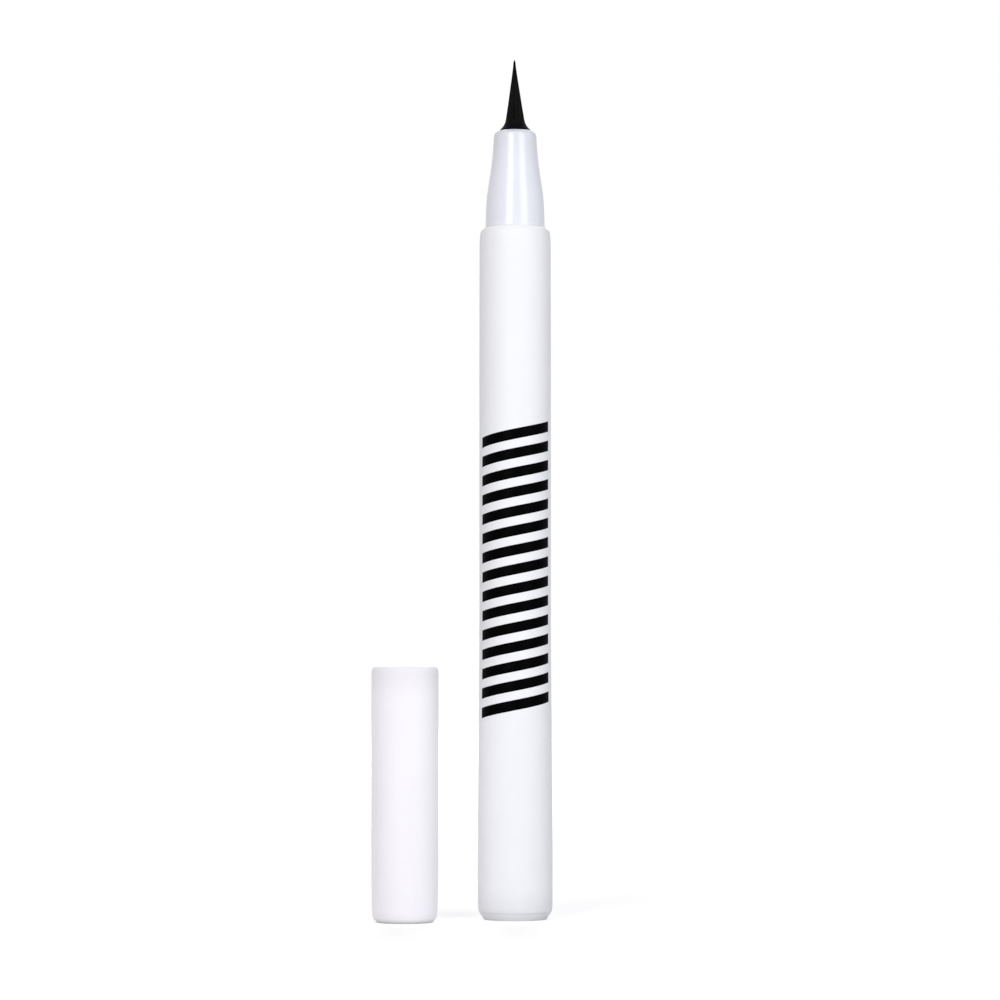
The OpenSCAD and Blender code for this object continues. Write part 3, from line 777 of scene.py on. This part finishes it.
innerFinishes = {
    "tail_seal_ring": sealRubber, "mixing_ball": ballSteel, "tank_plug": innerPlastic,
    "collector": innerPlastic, "feed_rod": rodFibre, "brush_seat": innerPlastic,
    "brush_root": collarPlastic,
}
for node, finish in innerFinishes.items():
    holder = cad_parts[node]
    if not holder.material_slots:
        holder.data.materials.append(finish)
    for place in holder.material_slots:
        place.material = finish
print("inner pieces finished")


# Studio: pale floor, white surround, a tall soft lamp on each side of the camera and one behind

def studioWorld(ambient, surround):
    # Diffuse light comes at the ambient level, while the camera, gloss and glass see white.
    scene.world = bpy.data.worlds.new("studio")
    paint = Paint(scene.world)
    rays = [paint.node("ShaderNodeLightPath", out=name) for name in (
        "Is Camera Ray", "Is Glossy Ray", "Is Transmission Ray",
    )]
    dim = paint.node("ShaderNodeBackground", {}, {"Color": ambient})
    white = paint.node("ShaderNodeBackground", {}, {"Color": surround})
    seen = rays[0] + rays[1] + rays[2]
    both = paint.node("ShaderNodeMixShader", {}, {0: seen, 1: dim, 2: white})
    paint.node("ShaderNodeOutputWorld", {}, {"Surface": both})


def paleFloor(f):
    # The floor's own tone keeps the shadow. A glow that only the camera and gloss see makes up the
    # difference to white: near level under the piece, far level beyond the second edge.
    paint = newPaint("paleFloor")
    fine = paint.noise(paint.place(), scale=0.05)
    away = paint.node("ShaderNodeVectorMath", {"operation": "LENGTH"}, {0: paint.place()}, "Value")
    near, far = ((level, level, level) for level in (f["nearLift"], f["farLift"]))
    seen = paint.node("ShaderNodeLightPath") + paint.node("ShaderNodeLightPath", out="Is Glossy Ray")
    shade = paint.node("ShaderNodeBsdfDiffuse", {}, {"Color": paint.mix(fine, f["tone"], f["shade"])})
    glow = paint.node(
        "ShaderNodeEmission", {},
        {"Color": paint.mix(away.within(*f["liftEdges"]), near, far), "Strength": 1.0},
    )
    lift = paint.node("ShaderNodeMixShader", {}, {0: seen, 2: glow})
    both = paint.node("ShaderNodeAddShader", {}, {0: shade, 1: lift})
    paint.node("ShaderNodeOutputMaterial", {}, {"Surface": both})
    half = f["size"] / 2
    corners = [[-half, -half, 0], [half, -half, 0], [half, half, 0], [-half, half, 0]]
    mesh = bpy.data.meshes.new("floor")
    mesh.from_pydata(corners, [], [[0, 1, 2, 3]])
    mesh.materials.append(paint.owner)
    floor = bpy.data.objects.new("floor", mesh)
    scene.collection.objects.link(floor)


def softLamp(name, s, aimZ):
    # side is in degrees from the camera's direction, seen from the pen; right is positive.
    turn = math.radians(s["side"])
    light = bpy.data.lights.new(name, "AREA")
    light.shape = "RECTANGLE"
    light.size, light.size_y = s["width"], s["tall"]
    light.energy = s["power"]
    light.color = s["colour"]
    lamp = bpy.data.objects.new(name, light)
    spot = np.array([
        math.sin(turn) * s["distance"], -math.cos(turn) * s["distance"], s["height"],
    ])
    lamp.location = spot
    look = np.array([0, 0, aimZ]) - spot
    tilt = math.atan2(math.hypot(look[0], look[1]), -look[2])
    lamp.rotation_euler = (tilt, 0, math.atan2(-look[0], look[1]))
    scene.collection.objects.link(lamp)


worldTones = {"ambient": (0.34, 0.34, 0.355), "surround": (1.0, 1.0, 1.0)}
floorSizes = {
    "size": 6.0, "tone": (0.69, 0.69, 0.69), "shade": (0.68, 0.68, 0.68),
    "nearLift": 0.52, "farLift": 0.83, "liftEdges": (120.0, 600.0),
}
lampAimZ = 0.06
lampSizes = {
    "leftStrip": {
        "side": -23, "distance": 0.75, "height": 0.30, "width": 0.32, "tall": 0.62,
        "power": 2.79, "colour": (1.0, 0.985, 0.945),
    },
    "rightStrip": {
        "side": 37, "distance": 0.75, "height": 0.30, "width": 0.38, "tall": 0.62,
        "power": 2.24, "colour": (0.955, 0.985, 1.0),
    },
    "backLamp": {
        "side": 180, "distance": 1.1, "height": 0.90, "width": 0.45, "tall": 0.45,
        "power": 6.0, "colour": (1.0, 1.0, 1.0),
    },
}
studioWorld(worldTones["ambient"], worldTones["surround"])
paleFloor(floorSizes)
for name, sizes in lampSizes.items():
    softLamp(name, sizes, lampAimZ)


# Camera: just above the height of the cap, looking slightly up at the middle of the pen

cameraSizes = {
    "x": -2.20, "distance": 580.0, "eyeZ": 38.03, "aimZ": 60.585,
    "pixelsPerRadian": 4003.0, "picture": 1000.0, "sensor": 36.0, "clip": (0.01, 50.0),
}


def placeCamera(s):
    data = bpy.data.cameras.new("camera")
    data.sensor_width = s["sensor"]
    data.sensor_fit = "HORIZONTAL"
    data.lens = s["pixelsPerRadian"] / s["picture"] * data.sensor_width
    data.clip_start, data.clip_end = s["clip"]
    camera = bpy.data.objects.new("camera", data)
    camera.location = (s["x"] * mm, -s["distance"] * mm, s["eyeZ"] * mm)
    tilt = math.atan2(s["aimZ"] - s["eyeZ"], s["distance"])
    camera.rotation_euler = (math.pi / 2 + tilt, 0, 0)
    scene.collection.objects.link(camera)
    scene.camera = camera


placeCamera(cameraSizes)
scene.view_settings.view_transform = "Standard"
print("studio and camera set")
